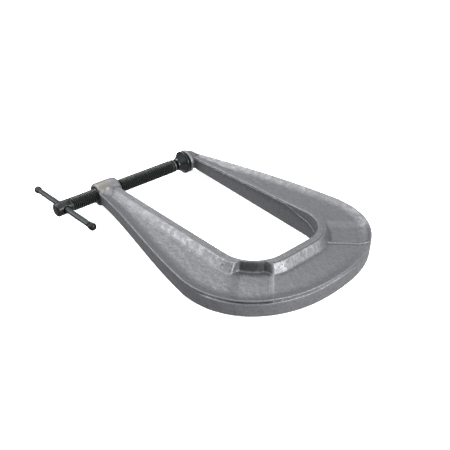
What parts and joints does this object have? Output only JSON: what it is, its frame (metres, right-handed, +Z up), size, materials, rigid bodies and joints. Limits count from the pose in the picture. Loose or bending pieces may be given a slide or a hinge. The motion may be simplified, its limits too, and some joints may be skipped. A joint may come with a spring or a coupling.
{
  "type": "c clamp",
  "caption": "Deep-throat forged C clamp with a threaded spindle, sliding bar handle and swivel pad facing a round anvil.",
  "frame": {"origin": "centre of the clamp's box, on the plane it lies on", "axes": "+X along the spindle from its handle end towards the anvil; +Y from the back of the C towards the spindle; +Z up through the flat of the C"},
  "size_m": [0.239, 0.3488, 0.031],
  "materials": {
    "forged_frame": "blasted forged steel, satin grey, worn bright on the slopes",
    "black_oxide_screw": "black oxide, oiled",
    "steel_bar": "dark oiled steel",
    "bar_knob": "dark oiled steel",
    "black_oxide_pad": "black oxide, semi-gloss",
    "spring_ring": "bare spring steel"
  },
  "bodies": {
    "frame": {"clamp_frame": "forged_frame"},
    "pad_carrier": {"pad_retaining_ring": "spring_ring"},
    "spindle": {"spindle_screw": "black_oxide_screw"},
    "handle": {"handle_bar": "steel_bar", "handle_knob_near": "bar_knob", "handle_knob_far": "bar_knob"},
    "pad": {"swivel_pad": "black_oxide_pad"}
  },
  "joints": [
    {"name": "spindle_turn", "type": "hinge", "parent": "pad_carrier", "child": "spindle", "pos_m": [0.0494, 0.1082, 0.0155], "axis": [1, 0, 0], "range_deg": [-12960, 148]},
    {"name": "spindle_advance", "type": "slide", "parent": "frame", "child": "pad_carrier", "axis": [1, 0, 0], "range_m": [-0.0832, 0.00096]},
    {"name": "handle_slide", "type": "slide", "parent": "spindle", "child": "handle", "axis": [0, 0.9971, -0.0767], "range_m": [-0.048, 0.0462]},
    {"name": "pad_tilt", "type": "hinge", "parent": "pad_carrier", "child": "pad", "pos_m": [0.0494, 0.1082, 0.0155], "axis": [0, 0, 1], "range_deg": [-6, 6]}
  ],
  "couplings": [
    {"joint": "spindle_advance", "follows": "spindle_turn", "m_per_rad": 0.0003675}
  ]
}
